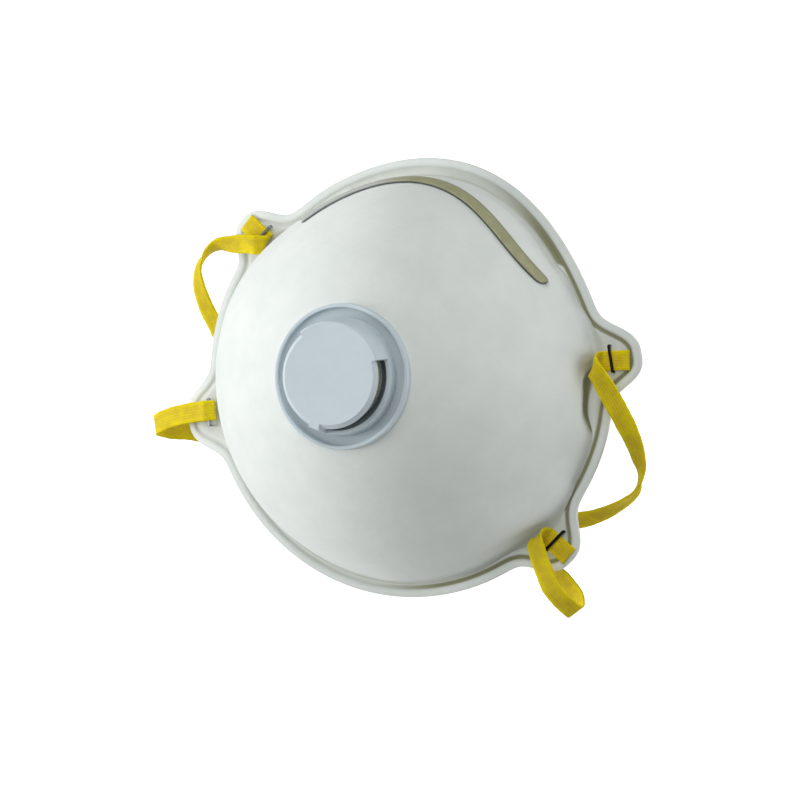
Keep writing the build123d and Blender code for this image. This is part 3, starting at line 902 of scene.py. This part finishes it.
def lights():
    """The strongest light comes from the left, as in the photo, and the rest fills the shade."""
    world = bpy.data.worlds.new("soft_room")
    world.use_nodes = True
    backdrop = world.node_tree.nodes["Background"]
    backdrop.inputs["Color"].default_value = (0.97, 1.0, 0.985, 1)
    backdrop.inputs["Strength"].default_value = 0.25
    bpy.context.scene.world = world
    sun("left_box", (-0.87, -0.33, -0.37), 2.5, 28)
    sun("right_box", (0.91, 0.37, 0.14), 1.4, 50)
    sun("top_box", (-0.21, -0.61, 0.76), 1.1, 50)
    sun("front_box", (0.0, -0.96, 0.24), 0.5, 50)
    sun("back_box", (-0.18, 0.92, -0.34), 1.25, 50)
    sun("low_box", (-0.15, 0.1, -0.95), 0.46, 50)
    bpy.context.scene.view_settings.view_transform = "Standard"


def camera():
    """The photo's view, from far off through a long lens; across is the width it takes in."""
    azimuth, elevation, roll = radians(23.1), radians(7.7), radians(16.87)
    lens, sensor, across = 500.0, 36.0, 0.2497
    aside, above = -3.85 * MM, -7.45 * MM
    back = Vector((sin(azimuth) * cos(elevation), -cos(azimuth) * cos(elevation), sin(elevation)))
    view = (-back).to_track_quat("-Z", "Y").to_matrix() @ Matrix.Rotation(roll, 3, "Z")
    data = bpy.data.cameras.new("camera")
    data.lens, data.sensor_width = lens, sensor
    data.clip_start, data.clip_end = 0.05, 20.0
    thing = bpy.data.objects.new("camera", data)
    thing.rotation_mode = "QUATERNION"
    thing.rotation_quaternion = view.to_quaternion()
    right, up = view @ Vector((1, 0, 0)), view @ Vector((0, 1, 0))
    thing.location = right * aside + up * above + back * (lens / sensor * across)
    bpy.context.scene.collection.objects.link(thing)
    bpy.context.scene.camera = thing


# ---- putting it together

camera()
lights()
sweep(stage_material())

# tan and pale_tan colour the welds and paint shade in the crease at the cup's foot.
tan, pale_tan = (0.23, 0.23, 0.12), (0.5, 0.5, 0.4)
cover_felt = felt_material("cover_felt", (0.78, 0.815, 0.79), (0.73, 0.77, 0.745), tan)
filter_felt = felt_material("filter_felt", (0.86, 0.86, 0.84), (0.80, 0.80, 0.78), pale_tan)
shell_felt = felt_material("shell_felt", (0.86, 0.865, 0.85), (0.80, 0.805, 0.79), pale_tan)
ply_piece("outer_cover_felt", "outer_cover", cover_felt, 72)
ply_piece("filter_felt_layer", "filter_layer", filter_felt, 30)
ply_piece("inner_shell_felt", "inner_shell", shell_felt, 60)
nose_clip(clip_material())
nose_foam(foam_material())

elastic = elastic_material()
for body, rows in (("upper_strap", UPPER_STRAP), ("lower_strap", LOWER_STRAP)):
    nodes = [body + ending for ending in ("_right_end", "_bends", "_loop", "_left_end")]
    strap(body + "_elastic", rows, elastic, nodes)

# The right staples are the same wire as the left ones, painted near black as shade; the left ones
# are grey.
wires = {
    "staple_dark": staple_material("wire_in_painted_shade", (0.02, 0.02, 0.022), 0.45),
    "staple_bright": staple_material("grey_wire", (0.35, 0.36, 0.38), 0.3),
}
for name, (centre, angle, slot) in STAPLES.items():
    staple(name, centre, angle, wires[slot])

pale, deep = (0.61, 0.69, 0.735), (0.58, 0.665, 0.71)
housing = plastic_material("pale_blue_plastic", pale, deep, 0.42)
# Painted shade: in the gap seen through the windows, and in the trough round the cover.
shade_rings = [(0.0139, 0.0170, 0.28), (0.0182, 0.0214, 0.76)]
dress("valve_seat", plastic_material("pale_blue_seat", pale, deep, 0.42, shade_rings))
for node in ("valve_cover", "valve_clamp_ring"):
    dress(node, housing)
silicone = rubber_material()
for node in ("valve_flap", "valve_flap_root"):
    dress(node, silicone)
